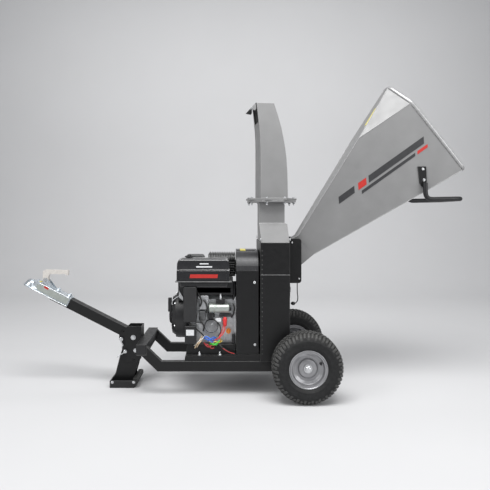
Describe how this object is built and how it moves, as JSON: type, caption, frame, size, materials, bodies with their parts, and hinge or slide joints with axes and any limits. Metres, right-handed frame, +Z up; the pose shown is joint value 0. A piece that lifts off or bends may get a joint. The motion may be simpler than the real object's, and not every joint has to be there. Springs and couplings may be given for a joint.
{
  "type": "wood chipper",
  "caption": "Towed petrol wood chipper: long feed hopper, belt-driven disc housing, turning discharge chute, folding ball-coupling drawbar and prop stand.",
  "frame": {"origin": "on the ground under the middle of the machine's length and width", "axes": "+X from the drawbar to the feed hopper, +Z up, -Y is the fuel tank side"},
  "size_m": [2.238, 0.669, 1.5331],
  "materials": {
    "black_powder_coat": "fine-textured black powder coat",
    "grey_powder_coat": "smooth silver-grey powder coat",
    "tyre": "matt black moulded rubber",
    "rim_silver": "silver lacquered pressed steel",
    "zinc": "bright bluish zinc plating",
    "steel": "machined bare steel",
    "aluminium": "sand-cast aluminium",
    "black_plastic": "satin black moulded plastic",
    "gloss_black": "gloss black enamel",
    "cast_iron": "dark cast iron",
    "orange_plastic": "orange moulded plastic",
    "belt_rubber": "black belt rubber"
  },
  "bodies": {
    "chassis": {"rail_left": "black_powder_coat", "rail_right": "black_powder_coat", "front_cross_tube": "black_powder_coat", "hinge_bracket": "black_powder_coat", "drawbar_pivot_bolt": "zinc", "stand_pivot_bolt": "zinc", "axle": "steel", "axle_carrier": "black_powder_coat", "engine_bed": "black_powder_coat", "crankcase": "aluminium", "cylinder": "aluminium", "blower_shroud": "black_plastic", "recoil_cover": "black_plastic", "fuel_tank": "gloss_black", "control_box": "black_plastic", "starter_motor": "aluminium", "regulator": "cast_iron", "air_filter": "black_plastic", "muffler": "steel", "muffler_guard": "black_powder_coat", "drive_belts": "belt_rubber", "belt_guard": "black_powder_coat", "guard_roof": "black_powder_coat", "bearing_front": "cast_iron", "bearing_rear": "cast_iron", "housing_lower": "black_powder_coat", "housing_upper": "black_powder_coat", "anvil": "steel", "inlet_box": "black_powder_coat", "hopper": "grey_powder_coat", "hopper_rim": "grey_powder_coat", "hopper_handle": "black_powder_coat", "chute_base": "grey_powder_coat"},
    "wheel_left": {"tyre_left": "tyre", "rim_left": "rim_silver"},
    "wheel_right": {"tyre_right": "tyre", "rim_right": "rim_silver"},
    "drawbar": {"drawbar_tube": "black_powder_coat", "coupler_body": "zinc"},
    "coupler_lever": {"coupler_lever": "aluminium"},
    "ball_clamp": {"ball_clamp": "steel"},
    "drawbar_pin": {"drawbar_pin": "zinc"},
    "stand_pin": {"stand_pin": "zinc"},
    "stand": {"stand_leg": "black_powder_coat", "stand_foot": "black_powder_coat"},
    "recoil_handle": {"recoil_handle": "black_plastic"},
    "fuel_cap": {"fuel_cap": "black_plastic"},
    "oil_plug": {"oil_plug": "orange_plastic"},
    "latch_lever": {"latch_lever": "black_plastic"},
    "crankshaft": {"crankshaft": "steel", "flywheel": "cast_iron", "drive_pulley": "cast_iron"},
    "rotor": {"rotor_shaft": "steel", "driven_pulley": "cast_iron", "cutting_disc": "steel", "knife_a": "steel", "knife_b": "steel"},
    "spout": {"chute_spout": "grey_powder_coat"},
    "flap": {"chute_flap": "grey_powder_coat"}
  },
  "joints": [
    {"name": "wheel_left_roll", "type": "hinge", "parent": "chassis", "child": "wheel_left", "pos_m": [0.31, -0.271, 0.165], "axis": [0, 1, 0], "continuous": true},
    {"name": "wheel_right_roll", "type": "hinge", "parent": "chassis", "child": "wheel_right", "pos_m": [0.31, 0.271, 0.165], "axis": [0, 1, 0], "continuous": true},
    {"name": "drawbar_fold", "type": "hinge", "parent": "chassis", "child": "drawbar", "pos_m": [-0.545, 0, 0.2455], "axis": [0, 1, 0], "range_deg": [0, 60]},
    {"name": "coupler_lever_lift", "type": "hinge", "parent": "drawbar", "child": "coupler_lever", "pos_m": [-1.004, 0, 0.5375], "axis": [0, -1, 0], "range_deg": [0, 60]},
    {"name": "ball_clamp_slide", "type": "slide", "parent": "drawbar", "child": "ball_clamp", "axis": [0.891, 0, -0.454], "range_m": [0, 0.0081]},
    {"name": "drawbar_pin_pull", "type": "slide", "parent": "chassis", "child": "drawbar_pin", "axis": [0, -1, 0], "range_m": [0, 0.09]},
    {"name": "stand_pin_pull", "type": "slide", "parent": "chassis", "child": "stand_pin", "axis": [0, -1, 0], "range_m": [0, 0.09]},
    {"name": "stand_fold", "type": "hinge", "parent": "chassis", "child": "stand", "pos_m": [-0.534, 0, 0.179], "axis": [0, 1, 0], "range_deg": [0, 55]},
    {"name": "recoil_pull", "type": "slide", "parent": "chassis", "child": "recoil_handle", "axis": [-1, 0, 0], "range_m": [0, 0.9], "stiffness_N_per_m": 15},
    {"name": "fuel_cap_turn", "type": "hinge", "parent": "chassis", "child": "fuel_cap", "pos_m": [-0.255, -0.07, 0.664], "axis": [0, 0, 1], "range_deg": [0, 90]},
    {"name": "oil_plug_turn", "type": "hinge", "parent": "chassis", "child": "oil_plug", "pos_m": [-0.057, -0.135, 0.3], "axis": [0, -1, 0], "continuous": true},
    {"name": "latch_lever_turn", "type": "hinge", "parent": "chassis", "child": "latch_lever", "pos_m": [0.293, -0.05, 0.5], "axis": [0, 0, 1], "range_deg": [-60, 60]},
    {"name": "rotor_spin", "type": "hinge", "parent": "chassis", "child": "rotor", "pos_m": [0.186, 0, 0.485], "axis": [1, 0, 0], "continuous": true},
    {"name": "crankshaft_spin", "type": "hinge", "parent": "chassis", "child": "crankshaft", "pos_m": [-0.14, -0.045, 0.365], "axis": [1, 0, 0], "continuous": true},
    {"name": "spout_turn", "type": "hinge", "parent": "chassis", "child": "spout", "pos_m": [0.163, 0, 0.957], "axis": [0, 0, 1], "continuous": true},
    {"name": "flap_tilt", "type": "hinge", "parent": "spout", "child": "flap", "pos_m": [0.07338, -0.0126, 1.4385], "axis": [-0.1392, 0.9903, 0], "range_deg": [0, 70]}
  ],
  "couplings": [
    {"joint": "ball_clamp_slide", "follows": "coupler_lever_lift", "m_per_rad": 0.0076},
    {"joint": "crankshaft_spin", "follows": "rotor_spin", "ratio": 2}
  ]
}
